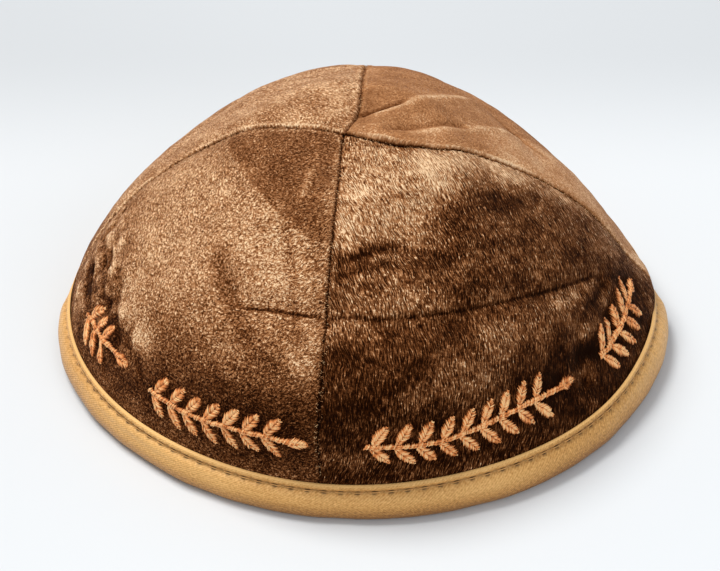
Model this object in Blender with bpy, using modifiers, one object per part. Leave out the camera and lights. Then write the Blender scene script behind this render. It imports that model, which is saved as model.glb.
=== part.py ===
"""A four-panel velvet skullcap with a satin binding round its rim, resting on its rim.

Metres, +Z up. The origin is the middle of the rim, on the surface that the cap rests on,
and the front of the cap looks along -Y. Run it with blender --background --python part.py.

The crown is one smooth surface, placed by an azimuth round the cap (in degrees, 0 at +X,
90 at +Y) and by a share of the way from the rim, 0, to the apex, 1. Four seams divide it
into gores, and each gore is its own cloth panel with its own edges.
"""

import bmesh
import bpy
import numpy as np

# Driving sizes of the crown
RIM_RADIUS = 0.092  # outer face of the velvet where the binding starts
CAP_HEIGHT = 0.073  # apex above the surface the cap rests on
VELVET_WALL = 0.0018  # velvet with its backing
APEX_SHIFT = -0.0053  # the crown leans this far along X
SEAM_GAP = 0.0003  # between two panels that meet
SEAM_DEPTH = 0.0009  # how far a seam pulls the velvet in
SEAM_ROUND = 0.0040  # how far from a seam the velvet starts to turn in
FOLD_DEPTH = 0.0020  # the folds' depths are shares of this
TIP_RADIUS = 0.0006  # the panels' tips stop this far from the apex

# Driving sizes of the binding
BINDING_WIDTH = 0.0124  # outer face, from the foot to the upper edge
BINDING_INNER_WIDTH = 0.0108  # inner face, from the foot to the upper edge
BINDING_CLOTH = 0.0010
BINDING_ROLL = 0.0025  # how far the outer face swells below its stitching
BINDING_INNER_ROLL = 0.0010
STITCH_DROP = 0.0023  # from the upper edge down to the line of stitching
LIP_ROUND = 0.0004  # how far the lip above the stitching swells
LIP_BEVEL = 0.0003  # how far the lip's upper edge rounds down
FIT_GAP = 0.0003  # between the binding and the velvet it grips

# Mesh density
PANEL_COLUMNS = 18
PANEL_ROWS = 24
EDGE_CROWDING = 0.45  # 0 spreads the columns evenly, more draws them to the seams
RING_STEPS = 64
OUTER_ROLL_STEPS = 6
INNER_ROLL_STEPS = 4
SLOT_STEPS = 3
MERIDIAN_STEPS = 200
MERGE_DISTANCE = 1e-6

# Half of the crown's outline: share of the way up, radius as a share of RIM_RADIUS,
# height as a share of CAP_HEIGHT
PROFILE = np.array([
    (0.00, 1.000, 0.000),
    (0.12, 1.004, 0.124),
    (0.30, 0.931, 0.419),
    (0.50, 0.733, 0.703),
    (0.70, 0.426, 0.927),
    (0.85, 0.297, 0.977),
    (1.00, 0.000, 1.000),
])

# Shares of the way up over which the crown turns from round to its own shape, and over
# which its seams and folds begin
FREE_SHARE = 0.15
FOLD_SHARE = 0.08

# How the crown's level sections leave a circle half way up: waves round the cap,
# cosine and sine parts as shares of the radius
SECTION_WAVES = (
    (1, 0.012, 0.008),
    (2, -0.089, 0.016),
    (3, 0.001, -0.021),
    (4, 0.030, -0.006),
)

# Where the four seams run: share of the way up, then each seam's azimuth in degrees
SEAMS = ("front", "right", "back", "left")
SEAM_COURSES = np.array([
    (0.00, -98.5, 1.0, 84.0, 174.0),
    (0.20, -97.3, 3.0, 85.5, 175.0),
    (0.40, -95.8, 2.5, 86.0, 174.5),
    (0.55, -95.2, 2.0, 85.5, 171.5),
    (0.70, -94.6, -3.5, 83.0, 168.5),
    (0.80, -94.0, -10.0, 81.0, 168.0),
    (0.88, -94.0, -17.0, 78.0, 164.5),
    (0.94, -94.3, -22.0, 73.0, 161.0),
    (1.00, -98.0, -8.0, 70.0, 153.0),
])

# Folds and dents: azimuth and share of their middle, how far they turn from level,
# half length and half width as shares of RIM_RADIUS, depth as a share of FOLD_DEPTH.
# A negative depth stands out.
FOLDS = (
    # the old fold line across both front panels
    (-107.0, 0.528, 4.0, 0.240, 0.045, 0.60),
    (-68.0, 0.493, -9.0, 0.400, 0.045, 0.70),
    (-28.0, 0.395, -17.0, 0.200, 0.045, 0.55),
    # soft hollows and one ridge on the front left panel
    (-106.5, 0.585, -62.0, 0.170, 0.045, 0.60),
    (-117.0, 0.510, -28.0, 0.160, 0.050, 0.55),
    (-124.0, 0.720, -50.0, 0.200, 0.080, -0.45),
    (-150.0, 0.450, 70.0, 0.280, 0.100, 0.45),
    # soft hollows and swellings on the front right panel
    (-72.0, 0.640, 15.0, 0.280, 0.110, 0.45),
    (-38.0, 0.620, 60.0, 0.260, 0.100, -0.50),
    (-48.0, 0.340, -12.0, 0.260, 0.080, -0.40),
    # puckers where the needlework pulls the velvet, left and right
    (-169.0, 0.330, 75.0, 0.140, 0.050, 0.45),
    (-157.0, 0.300, 60.0, 0.120, 0.045, 0.60),
    (-24.0, 0.280, 50.0, 0.130, 0.045, 0.60),
    (-38.0, 0.270, 65.0, 0.110, 0.045, 0.60),
    # folds on top of the back right panel, and its roll over the right seam
    (59.0, 0.905, 68.0, 0.140, 0.045, 0.80),
    (46.5, 0.780, 88.0, 0.320, 0.060, -0.35),
    (18.0, 0.830, 92.0, 0.270, 0.055, 0.55),
    (-6.0, 0.915, 60.0, 0.110, 0.050, -0.70),
    # the same old fold line and two hollows on the back
    (128.0, 0.500, 2.0, 0.420, 0.050, 0.60),
    (45.0, 0.500, -2.0, 0.420, 0.050, 0.60),
    (110.0, 0.680, 30.0, 0.260, 0.110, 0.45),
    (62.0, 0.560, -20.0, 0.260, 0.110, -0.40),
)

# What each panel lies between, going round the cap
PANELS = {
    "panel_front_right": ("front", "right"),
    "panel_back_right": ("right", "back"),
    "panel_back_left": ("back", "left"),
    "panel_front_left": ("left", "front"),
}

# Linear colours from the photograph
VELVET_COLOUR = (0.150, 0.066, 0.028, 1.0)
SATIN_COLOUR = (0.510, 0.300, 0.105, 1.0)


def smooth_curve(table, column, share, level_end=False):
    """A cubic spline through one column of a table, against the table's first column."""
    at, values = table[:, 0], table[:, column]
    span = np.diff(at)
    steps = np.diff(values) / span
    system = np.eye(len(at))
    turns = np.zeros(len(at))
    for i in range(1, len(at) - 1):
        system[i, i - 1 : i + 2] = span[i - 1], 2 * (span[i - 1] + span[i]), span[i]
        turns[i] = 6 * (steps[i] - steps[i - 1])
    if level_end:
        system[-1, -2:] = span[-1], 2 * span[-1]
        turns[-1] = -6 * steps[-1]
    bends = np.linalg.solve(system, turns)
    row = np.clip(np.searchsorted(at, share, side="right") - 1, 0, len(at) - 2)
    before = (at[row + 1] - share) / span[row]
    after = 1 - before
    bend = (before**3 - before) * bends[row] + (after**3 - after) * bends[row + 1]
    return before * values[row] + after * values[row + 1] + bend * span[row] ** 2 / 6


def radius_at(share):
    """Mean radius of the crown at this share of the way up."""
    return RIM_RADIUS * smooth_curve(PROFILE, 1, share)


def height_at(share):
    """Height of the crown at this share of the way up."""
    return CAP_HEIGHT * smooth_curve(PROFILE, 2, share, level_end=True)


def rising(value, start, end):
    """0 before start, 1 after end, and smooth between."""
    x = np.clip((value - start) / (end - start), 0.0, 1.0)
    return x * x * (3 - 2 * x)


def share_at_height(height):
    """Share of the way up at which the crown reaches this height."""
    shares = np.linspace(0.0, 0.5, MERIDIAN_STEPS)
    return float(np.interp(height, height_at(shares), shares))


def meridian_length(share):
    """Length of cloth from the rim up to this share."""
    shares = np.linspace(0.0, 1.0, MERIDIAN_STEPS)
    steps = np.hypot(np.diff(radius_at(shares)), np.diff(height_at(shares)))
    lengths = np.concatenate([[0.0], np.cumsum(steps)])
    return np.interp(share, shares, lengths)


# The crown is truly round up to here, because the binding grips it
ROUND_SHARE = share_at_height(BINDING_WIDTH)


def smooth_crown(azimuth, share):
    """The crown's outer face before its seams and folds pull it in."""
    angle = np.radians(azimuth)
    free = rising(share, ROUND_SHARE, ROUND_SHARE + FREE_SHARE)
    wave = sum(
        cosine * np.cos(order * angle) + sine * np.sin(order * angle)
        for order, cosine, sine in SECTION_WAVES
    )
    swell = 1 + wave * free * np.sin(np.pi * share) ** 2
    radius = radius_at(share) * swell
    height = height_at(share)
    lean = APEX_SHIFT * free * height / CAP_HEIGHT
    return np.stack([radius * np.cos(angle) + lean, radius * np.sin(angle), height], axis=-1)


def outward(azimuth, share):
    """Unit normals of the smooth crown."""
    step_round, step_up = 0.5, 0.002
    below = np.clip(share - step_up, 0.0, 1.0)
    above = np.clip(share + step_up, 0.0, 1.0)
    round_it = smooth_crown(azimuth + step_round, share) - smooth_crown(azimuth - step_round, share)
    up_it = smooth_crown(azimuth, above) - smooth_crown(azimuth, below)
    normal = np.cross(round_it, up_it)
    return normal / np.linalg.norm(normal, axis=-1, keepdims=True)


def fold_depth(azimuth, share):
    """How far the folds and dents draw the velvet in."""
    radius = radius_at(share)
    depth = np.zeros_like(share)
    for middle, height, turn, half_length, half_width, part in FOLDS:
        away = (azimuth - middle + 180.0) % 360.0 - 180.0
        across = radius * np.radians(away)
        up = meridian_length(share) - meridian_length(height)
        cos, sin = np.cos(np.radians(turn)), np.sin(np.radians(turn))
        along = (across * cos + up * sin) / (half_length * RIM_RADIUS)
        aside = (up * cos - across * sin) / (half_width * RIM_RADIUS)
        depth += part * FOLD_DEPTH * np.exp(-(along**4) - aside**2)
    return depth * rising(share, ROUND_SHARE, ROUND_SHARE + FOLD_SHARE)


def crown(azimuth, share, from_seam):
    """The outer face of the velvet, with its folds and the pull of the nearer seam."""
    pull = SEAM_DEPTH * np.exp(-((from_seam / SEAM_ROUND) ** 2))
    pull = pull * rising(share, ROUND_SHARE, ROUND_SHARE + FOLD_SHARE)
    sink = (fold_depth(azimuth, share) + pull)[..., None]
    return smooth_crown(azimuth, share) - sink * outward(azimuth, share)


def seam_azimuth(seam, share):
    """Azimuth of a named seam at this share of the way up."""
    return smooth_curve(SEAM_COURSES, 1 + SEAMS.index(seam), share)


def lowest_share():
    """The panels' lower edge stands in the binding, clear of its fold."""
    return share_at_height(BINDING_CLOTH + FIT_GAP)


def highest_share():
    """Where the crown narrows to the panels' tips."""
    shares = np.linspace(0.5, 1.0, MERIDIAN_STEPS)
    return float(np.interp(-TIP_RADIUS, -radius_at(shares), shares))


def panel_points(first_seam, second_seam, across, up):
    """Places across (0 to 1) and up (0 to 1) a panel, as points on its outer face."""
    share = lowest_share() + up * (highest_share() - lowest_share())
    start = seam_azimuth(first_seam, share)
    end = seam_azimuth(second_seam, share)
    end = end + 360.0 * (end < start)
    width = radius_at(share) * np.radians(end - start)
    inset = np.clip(SEAM_GAP / 2 / width, 0.0, 0.5)
    inset = np.where(up < 1, inset, 0.5)  # the top row meets in the panel's tip
    spread = across - EDGE_CROWDING * np.sin(2 * np.pi * across) / (2 * np.pi)
    place = inset + spread * (1 - 2 * inset)
    from_seam = np.minimum(place, 1 - place) * width
    return crown(start + place * (end - start), share, from_seam)


def material(name, colour, roughness, sheen):
    """A cloth finish: colour, roughness and the weight of its sheen, with no metal in it."""
    made = bpy.data.materials.new(name)
    made.use_nodes = True
    shader = made.node_tree.nodes["Principled BSDF"]
    shader.inputs["Base Color"].default_value = colour
    shader.inputs["Roughness"].default_value = roughness
    shader.inputs["Metallic"].default_value = 0.0
    shader.inputs["Sheen Weight"].default_value = sheen
    return made


def finished(name, mesh, surface, collection):
    """An object for the mesh, shaded smooth, in its collection."""
    mesh.materials.append(surface)
    mesh.shade_smooth()
    made = bpy.data.objects.new(name, mesh)
    collection.objects.link(made)
    return made


def velvet_panel(name, seams, surface, collection):
    """One gore: a grid laid on the crown between two seams, thickened inwards."""
    shape = bmesh.new()
    bmesh.ops.create_grid(shape, x_segments=PANEL_COLUMNS, y_segments=PANEL_ROWS, size=0.5)
    flat = np.array([vertex.co[:] for vertex in shape.verts])
    laid = panel_points(*seams, *np.clip(flat[:, :2] + 0.5, 0.0, 1.0).T)
    for vertex, place in zip(shape.verts, laid):
        vertex.co = place
    bmesh.ops.remove_doubles(shape, verts=shape.verts, dist=MERGE_DISTANCE)
    mesh = bpy.data.meshes.new(name)
    shape.to_mesh(mesh)
    shape.free()
    panel = finished(name, mesh, surface, collection)
    thickness = panel.modifiers.new("wall", "SOLIDIFY")
    thickness.thickness = VELVET_WALL
    thickness.offset = -1.0
    return panel


def wall_radius(height):
    """Outer radius of the velvet at this height, inside the binding."""
    return float(radius_at(share_at_height(height)))


def binding_section():
    """The folded tape's outline as (radius, height), down its outside and up its inside."""
    stitch = BINDING_WIDTH - STITCH_DROP
    face = FIT_GAP + BINDING_CLOTH
    points = [
        (FIT_GAP, BINDING_WIDTH),
        (face, BINDING_WIDTH - LIP_BEVEL),
        (face + LIP_ROUND, BINDING_WIDTH - STITCH_DROP / 2),
    ]
    for angle in np.linspace(0.0, np.pi, OUTER_ROLL_STEPS + 1):
        points.append((face + BINDING_ROLL * np.sin(angle), stitch * (1 + np.cos(angle)) / 2))
    inside = -(VELVET_WALL + FIT_GAP)
    for angle in np.linspace(np.pi, 0.0, INNER_ROLL_STEPS + 1):
        swell = BINDING_INNER_ROLL * np.sin(angle)
        points.append(
            (inside - BINDING_CLOTH - swell, BINDING_INNER_WIDTH * (1 + np.cos(angle)) / 2)
        )
    for height in np.linspace(BINDING_INNER_WIDTH, BINDING_CLOTH, SLOT_STEPS + 1):
        points.append((inside, height))
    for height in np.linspace(BINDING_CLOTH, BINDING_WIDTH, SLOT_STEPS + 1)[:-1]:
        points.append((FIT_GAP, height))
    return [(wall_radius(height) + offset, height) for offset, height in points]


def rim_binding(surface, collection):
    """The satin tape folded over the panels' lower edges, turned round the cap."""
    section = binding_section()
    mesh = bpy.data.meshes.new("rim_binding")
    corners = [(radius, 0.0, height) for radius, height in section]
    sides = [(i, (i + 1) % len(corners)) for i in range(len(corners))]
    mesh.from_pydata(corners, sides, [])
    binding = finished("rim_binding", mesh, surface, collection)
    turn = binding.modifiers.new("turn", "SCREW")
    turn.steps = RING_STEPS
    turn.render_steps = RING_STEPS
    turn.use_merge_vertices = False
    turn.use_smooth_shade = True
    return binding


def main():
    for old in list(bpy.data.objects):
        bpy.data.objects.remove(old)
    collection = bpy.data.collections.new("velvet_skullcap")
    bpy.context.scene.collection.children.link(collection)
    velvet = material("velvet", VELVET_COLOUR, 0.85, 0.6)
    satin = material("satin", SATIN_COLOUR, 0.45, 0.2)
    for name, seams in PANELS.items():
        velvet_panel(name, seams, velvet, collection)
    rim_binding(satin, collection)


main()
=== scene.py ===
# Brown velvet skullcap: four gores, a gold satin binding and copper needlework sprigs.
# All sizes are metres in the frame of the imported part: +Z up, the front along -Y.
import math

import bmesh
import bpy
import numpy as np
from mathutils import Matrix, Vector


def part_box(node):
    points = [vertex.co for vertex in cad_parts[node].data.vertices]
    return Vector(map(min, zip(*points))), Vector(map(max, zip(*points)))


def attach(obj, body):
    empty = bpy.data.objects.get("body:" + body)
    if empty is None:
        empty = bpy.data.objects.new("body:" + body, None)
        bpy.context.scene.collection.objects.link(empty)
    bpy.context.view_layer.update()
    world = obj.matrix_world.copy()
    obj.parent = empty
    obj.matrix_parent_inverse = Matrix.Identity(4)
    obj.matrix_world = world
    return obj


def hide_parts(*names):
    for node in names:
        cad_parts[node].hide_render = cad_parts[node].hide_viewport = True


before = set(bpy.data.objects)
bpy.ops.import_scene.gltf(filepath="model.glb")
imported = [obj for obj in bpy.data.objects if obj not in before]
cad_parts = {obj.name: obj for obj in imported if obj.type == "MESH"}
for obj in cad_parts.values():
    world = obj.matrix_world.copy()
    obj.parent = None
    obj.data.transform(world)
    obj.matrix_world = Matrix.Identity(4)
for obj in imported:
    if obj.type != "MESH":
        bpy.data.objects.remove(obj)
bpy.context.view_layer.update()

millimetre = 0.001
tapeLow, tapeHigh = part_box("rim_binding")
seamNames = ("front", "right", "back", "left")
seamsOf = {
    "panel_front_right": ("front", "right"), "panel_back_right": ("right", "back"),
    "panel_back_left": ("back", "left"), "panel_front_left": ("left", "front"),
}
crownTop = max(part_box(node)[1][2] for node in seamsOf)
print("frame loaded, rim", round((tapeHigh[0] - tapeLow[0]) * 1000, 1), "mm across")

# Shape of the crown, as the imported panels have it. Places on it are an azimuth in degrees
# (0 at +X, 90 at +Y, the camera at -90) and a share of the way up, 0 rim to 1 apex.
crown = {
    "radius": (tapeHigh[0] - tapeLow[0]) / 2 - 4.34 * millimetre,
    "height": crownTop - 0.3 * millimetre,
    "apexShift": -5.3 * millimetre,
    "roundShare": 0.12,  # truly round up to here, inside the binding
    "foldShare": 0.06,  # folds and seams have their full depth this much higher
    "freeShare": 0.15,  # and the waves round the crown this much higher
    "profile": np.array([  # share of the way up, radius share, height share
        (0.00, 1.000, 0.000), (0.12, 1.004, 0.124), (0.30, 0.931, 0.419), (0.50, 0.733, 0.703),
        (0.70, 0.426, 0.927), (0.85, 0.297, 0.977), (1.00, 0.000, 1.000),
    ]),
    "waves": ((1, 0.012, 0.008), (2, -0.089, 0.016), (3, 0.001, -0.021), (4, 0.030, -0.006)),
    "seams": np.array([  # share of the way up, azimuth of the front, right, back, left seam
        (0.00, -98.5, 1.0, 84.0, 174.0), (0.20, -97.3, 3.0, 85.5, 175.0),
        (0.40, -95.8, 2.5, 86.0, 174.5), (0.55, -95.2, 2.0, 85.5, 171.5),
        (0.70, -94.6, -3.5, 83.0, 168.5), (0.80, -94.0, -10.0, 81.0, 168.0),
        (0.88, -94.0, -17.0, 78.0, 164.5), (0.94, -94.3, -22.0, 73.0, 161.0),
        (1.00, -98.0, -8.0, 70.0, 153.0),
    ]),
}

# In the next four tables a share is in thousandths of the way up.
# Folds: azimuth, share, turn from level, half length, half width, depth, lengths in mm.
# A negative depth stands out.
broadFolds = (
    (-107, 528, 4, 22, 4.1, 1.2), (-68, 493, -9, 37, 4.1, 1.4), (-28, 395, -17, 18, 4.1, 1.1),
    (-106.5, 585, -62, 15.6, 4.1, 1.2), (-117, 510, -28, 14.7, 4.6, 1.1),
    (-124, 720, -50, 18.4, 7.4, -0.9), (-150, 450, 70, 25.8, 9.2, 0.9), (-72, 640, 15, 25.8, 10.1, 0.9),
    (-38, 620, 60, 23.9, 9.2, -1), (-48, 340, -12, 23.9, 7.4, -0.8), (-169, 330, 75, 12.9, 4.6, 0.9),
    (-157, 300, 60, 11, 4.1, 1.2), (-24, 280, 50, 12, 4.1, 1.2), (-38, 270, 65, 10.1, 4.1, 1.2),
    (59, 905, 68, 12.9, 4.1, 1.6), (46.5, 780, 88, 29.4, 5.5, -0.7), (18, 830, 92, 24.8, 5.1, 1.1),
    (-6, 915, 60, 10.1, 4.6, -1.4), (128, 500, 2, 38.6, 4.6, 1.2), (45, 500, -2, 38.6, 4.6, 1.2),
    (110, 680, 30, 23.9, 10.1, 0.9), (62, 560, -20, 23.9, 10.1, -0.8), (160, 220, 0, 26, 12, -0.4),
    (26, 190, 0, 20, 8, -0.15), (1, 160, 0, 13, 8, -1.75),
)

# Creases: half width in mm, depth in mm, how much painted shade lies in it (negative: a painted
# highlight), and then the azimuth and share of each place that it passes through. A negative depth stands
# out.
creases = (
    # the sharp line of the old fold, front and back
    (0.5, 0.5, 0.42, -117, 513, -111, 522, -104, 530, -96, 532),
    (0.5, 0.5, 0.28, -95, 532, -86, 525, -77, 515, -62.5, 493, -48.5, 463, -33, 415, -16.5, 353),
    (0.9, 0.45, 0.15, 88, 500, 110, 510, 135, 505, 160, 500),
    (0.9, 0.45, 0.13, 20, 470, 45, 505, 65, 505, 84, 500),
    # two soft valleys in the front left panel, and a pale streak in its smooth facet
    (3.2, 0.45, 0.17, -136.5, 580, -128, 550, -120.5, 515, -114, 470, -109, 432, -103, 412),
    (1.6, 0.4, 0.12, -114, 680, -109, 627, -105.5, 570, -103, 527, -101, 475),
    (1.3, -0.25, -0.16, -116.5, 895, -114, 850, -111, 770),
    # the dark line beside the left seam, half way up
    (0.9, 0.4, 0.34, -188.5, 500, -190.5, 600, -191, 700, -191.5, 760),
    # the raised edges of the facet
    (1.2, -0.3, -0.05, -184, 708, -172, 730, -156, 748, -141, 725, -127, 705, -113.5, 676, -103, 652),
    # dark dents beside the front seam
    (1.7, 0.35, 0.34, -93.5, 612, -84.5, 637, -77, 638, -69.5, 635),
    (1.3, 0.25, 0.3, -93.5, 592, -87, 603, -80, 605),
    # wrinkles that fan from the apex over the back right panel
    (1.3, 0.6, 0.26, 72, 935, 56, 902, 49.5, 838),
    (1.8, -0.4, -0.16, 59.5, 942, 45.5, 872, 46.5, 665, 49, 555),
    (1.7, 0.5, 0.12, 10, 945, 18.5, 845, 22, 662),
    (1.8, -0.4, -0.12, 0, 900, 16, 713, 28.5, 565, 31, 473),
    # puckers at the two ends of the needlework
    (1.5, 0.7, 0.22, -183, 440, -178, 390, -177, 340),
    (1.6, 0.7, 0.26, -170.5, 385, -166.5, 370, -164, 355),
    (1.7, 0.7, 0.3, -174, 300, -169, 275, -164.5, 262),
    (1.5, 0.45, 0.16, -160, 350, -157.5, 330, -157, 300), (1.3, 0.45, 0.18, -30, 345, -22, 330, -14, 335),
    (1.9, 0.6, 0.3, -39, 285, -34, 262, -30, 235), (1.4, 0.45, 0.18, -12, 300, -8, 255, -7, 220),
    (1.3, 0.65, 0.28, -173, 365, -170, 352, -166.5, 335),
    (1.3, 0.6, 0.26, -176, 285, -172, 262, -167, 245),
    (1.4, 0.6, 0.26, -162.5, 325, -159.5, 312, -156.5, 318),
    (1.5, 0.45, 0.2, -161, 392, -158, 378, -155, 372),
    (1.5, 0.5, 0.22, -156, 240, -152.5, 225, -149, 215),
    (1.6, 0.5, 0.22, -152, 320, -148, 300, -146, 275),
    (1.8, 0.5, 0.22, -143, 300, -138.5, 285, -136, 250),
    # and the pale ridges between them
    (1.2, -0.4, -0.16, -172.5, 400, -168.5, 385, -164, 392),
    (1.2, -0.4, -0.18, -172, 325, -169.5, 305, -168, 275),
    (1.2, -0.4, -0.18, -175.5, 235, -173.5, 210, -171, 190),
    (1.2, -0.35, -0.14, -162.5, 295, -160, 280, -158.5, 255),
    (1.6, -0.35, -0.12, -154.5, 378, -151.5, 345, -149, 335),
    (1.6, -0.35, -0.16, -142.5, 345, -141.5, 315, -141, 290),
    (1.6, -0.35, -0.14, -35, 318, -31.5, 305, -27.5, 302),
    (1.4, -0.35, -0.16, -45, 270, -41, 250, -38, 240),
)

# Crumpled places: azimuth, share, radius in mm, depth in mm, and how much painted shade lies in their hollows
# and painted highlight on their ridges
crumples = (
    (-170, 315, 21, 0.4, 0.24), (-150, 285, 16, 0.4, 0.2), (-22, 300, 16, 0.45, 0.18),
    (-40, 260, 14, 0.35, 0.16), (-88, 600, 12, 0.25, 0.12), (-70, 230, 16, 0.25, 0.12),
    (-110, 230, 16, 0.25, 0.12),
)

# Where sheen and shade are painted on the pile, for the nap taking the light or not, for shaded facets
# and a shaded foot: how softly the area ends in mm, how much lighter it is, how much the pile's grain shows
# there, and then the azimuth and share of each corner
paintedLightAreas = (
    # painted shade on the smooth facet under the apex, in the front left panel
    (1, -0.095, 0.85, -184.5, 708, -187, 863, -191.5, 932, -153, 990, -97, 940, -95, 767, -95, 655,
     -103.5, 655, -113.5, 680, -127, 708, -141, 728, -156, 750, -172, 733),
    # painted sheen on the golden cloth under the facet and under the fold, and painted shade on the foot
    (9, 0.1, 1, -187, 495, -188.5, 620, -154, 740, -113.5, 672, -106, 545, -120, 513, -128.5, 485,
     -144.5, 430, -162.5, 427),
    (5, 0.04, 1, -115.5, 505, -104, 520, -96.5, 525, -96.5, 410, -102, 417, -109, 458),
    (7, -0.09, 1, -157.5, 260, -142, 287, -132.5, 395, -122, 412, -113.5, 435, -107.5, 397, -96.5, 383,
     -98, 177, -110.5, 188, -125.5, 203, -143, 213),
    (5, -0.1, 1, -119, 400, -97, 400, -98, 230, -116, 240),
    # front right panel: painted sheen beside the front seam, painted shade to the right
    (6, 0.215, 1, -83.5, 990, -20, 958, -24, 905, -10.5, 787, 3, 610, -1, 583, -15, 665, -37.5, 735,
     -53.5, 698, -61.5, 635, -71, 647, -81, 642, -96, 632),
    (6, -0.145, 1, -53.5, 682, -36.5, 665, -18, 605, -10.5, 530, -0.5, 415, -3.5, 285, -22.5, 378, -45.5,
     453, -65, 503, -70, 532, -71, 600, -62.5, 627),
    (4, -0.215, 0.9, -96, 500, -77, 500, -48, 440, -20, 360, -4, 270, -2, 150, -98, 150),
    # cloth that catches the light in the front left panel
    (4, 0.1, 1, -120, 670, -104, 650, -98, 560, -104, 535, -114, 560),
    (5, 0.08, 1, -168, 430, -150, 430, -138, 380, -146, 320, -160, 340),
    # the back right panel has painted sheen at its edge and painted shade by the apex
    (5, 0.1, 1, 1, 640, 4, 400, 2, 140, 26, 140, 32, 400, 26, 600),
    (4, -0.06, 1, 60, 985, 80, 930, 84, 780, 66, 820, 58, 900),
    # painted sheen on a strip under the right seam, and on the cloth along both sides of it
    (3, 0.1, 1, -17, 870, -5, 740, -9, 690, -22, 740, -42, 790, -36, 870),
    (2.5, 0.14, 1, -5, 700, 3, 610, 3.5, 470, -3, 450, -8, 560, -11, 650),
    (3, 0.12, 1.1, -9, 380, 3, 380, 5, 250, 3, 180, -6, 180, -10, 280),
    # the crumpled cloth at the left catches the light down to the binding
    (4, 0.13, 1, -186, 430, -166, 420, -157, 330, -160, 240, -172, 180, -186, 180),
    # dark spots in the front right panel
    (2.5, -0.09, 1, -52, 680, -42, 672, -33, 655, -38, 620, -50, 630),
    (2.5, -0.14, 1, -27, 640, -20, 625, -13, 575, -14, 540, -24, 590),
    (3, -0.08, 1, -26, 455, -19, 450, -15, 430, -20, 405, -27, 425),
    (5, -0.09, 0.9, -55, 380, -44, 400, -30, 360, -20, 260, -24, 160, -50, 160, -58, 260),
    # paler cloth over the dark area and beside the left needlework
    (4.5, 0.17, 1, -58, 700, -45, 800, -30, 740, -24, 690, -38, 630, -54, 640),
    (3, 0.06, 1, -13, 730, -5, 740, 4, 640, 3, 560, -13, 570),
    (3, 0.07, 1, -15, 400, -2, 350, 1, 230, -12, 260), (2.5, 0.1, 1, -9, 220, 8, 240, 10, 130, -7, 130),
    (3.5, 0.14, 1, -152, 345, -139, 390, -132, 320, -134, 250, -146, 230),
    # paler spots about the needlework
    (3, 0.12, 1, -92, 515, -84, 512, -83, 475, -92, 475),
    (3, 0.1, 1, -47, 400, -40, 390, -39, 355, -46, 360),
    (2, 0.22, 1, -71, 255, -66.5, 250, -67, 205, -71.5, 205),
    (3, 0.14, 1, -94, 240, -87, 240, -86, 190, -94, 190),
    (3, 0.18, 1, -144, 350, -137, 350, -135, 310, -142, 305),
    (3, 0.12, 1, -117, 395, -110, 395, -110, 355, -117, 355),
    (3, 0.14, 1, -38, 420, -29, 400, -20, 375, -24, 350, -36, 380),
    (2.5, 0.2, 1, -40, 320, -31, 318, -27, 300, -34, 290),
    (2.5, 0.14, 1, -46, 245, -38, 245, -31, 240, -33, 215, -44, 215),
)


def smoothCurve(table, column, share, levelEnd=False):
    # cubic spline through one column against the first: each span is a blend of its ends
    # plus the two ends' bends, which one linear system finds
    at, values = table[:, 0], table[:, column]
    span = np.diff(at)
    steps = np.diff(values) / span
    system = np.eye(len(at))
    turns = np.zeros(len(at))
    for i in range(1, len(at) - 1):
        system[i, i - 1 : i + 2] = span[i - 1], 2 * (span[i - 1] + span[i]), span[i]
        turns[i] = 6 * (steps[i] - steps[i - 1])
    if levelEnd:
        system[-1, -2:] = span[-1], 2 * span[-1]
        turns[-1] = -6 * steps[-1]
    bends = np.linalg.solve(system, turns)
    row = np.clip(np.searchsorted(at, share, side="right") - 1, 0, len(at) - 2)
    before = (at[row + 1] - share) / span[row]
    after = 1 - before
    bend = (before**3 - before) * bends[row] + (after**3 - after) * bends[row + 1]
    return before * values[row] + after * values[row + 1] + bend * span[row] ** 2 / 6


def rising(value, start, end):
    # 0 before start, 1 after end, smooth between: 3x^2 - 2x^3
    x = np.clip((value - start) / (end - start), 0.0, 1.0)
    return x * x * (3 - 2 * x)


def hump(away, spread=1.0, power=2):
    # 1 in the middle, falling off as exp(-(away / spread)^power)
    return np.exp(-np.minimum((away / spread) ** power, 60.0))


def degreesFrom(azimuth, middle):
    # the way round from middle to azimuth, -180 to 180
    return (azimuth - middle + 180.0) % 360.0 - 180.0


def humps(azimuth, table):
    # humps round the cap, each with its middle, its spread in degrees and its height
    return sum(high * hump(degreesFrom(azimuth, middle), spread) for middle, spread, high in table)


def unit(vectors):
    # each vector divided by its length
    return vectors / np.maximum(np.linalg.norm(vectors, axis=-1, keepdims=True), 1e-12)


def radiusAt(share):
    return crown["radius"] * smoothCurve(crown["profile"], 1, share)


def heightAt(share):
    return crown["height"] * smoothCurve(crown["profile"], 2, share, levelEnd=True)


def seamAt(name, share):
    return smoothCurve(crown["seams"], 1 + seamNames.index(name), share)


meridianShares = np.linspace(0.0, 1.0, 400)
meridianLengths = np.concatenate([[0.0], np.cumsum(np.hypot(
    np.diff(radiusAt(meridianShares)), np.diff(heightAt(meridianShares))))])


def lengthAt(share):
    return np.interp(share, meridianShares, meridianLengths)


def shareAtLength(length):
    return np.interp(length, meridianLengths, meridianShares)


def shareAtHeight(height):
    half = meridianShares < 0.5
    return np.interp(height, heightAt(meridianShares[half]), meridianShares[half])


def smoothCrown(azimuth, share):
    # radius(share) * (1 + a few waves round the cap that swell half way up), leaning to -X
    angle = np.radians(azimuth)
    free = rising(share, crown["roundShare"], crown["roundShare"] + crown["freeShare"])
    wave = sum(c * np.cos(n * angle) + s * np.sin(n * angle) for n, c, s in crown["waves"])
    radius = radiusAt(share) * (1 + wave * free * np.sin(np.pi * share) ** 2)
    height = heightAt(share)
    lean = crown["apexShift"] * free * height / crown["height"]
    return np.stack([radius * np.cos(angle) + lean, radius * np.sin(angle), height], axis=-1)


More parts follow.
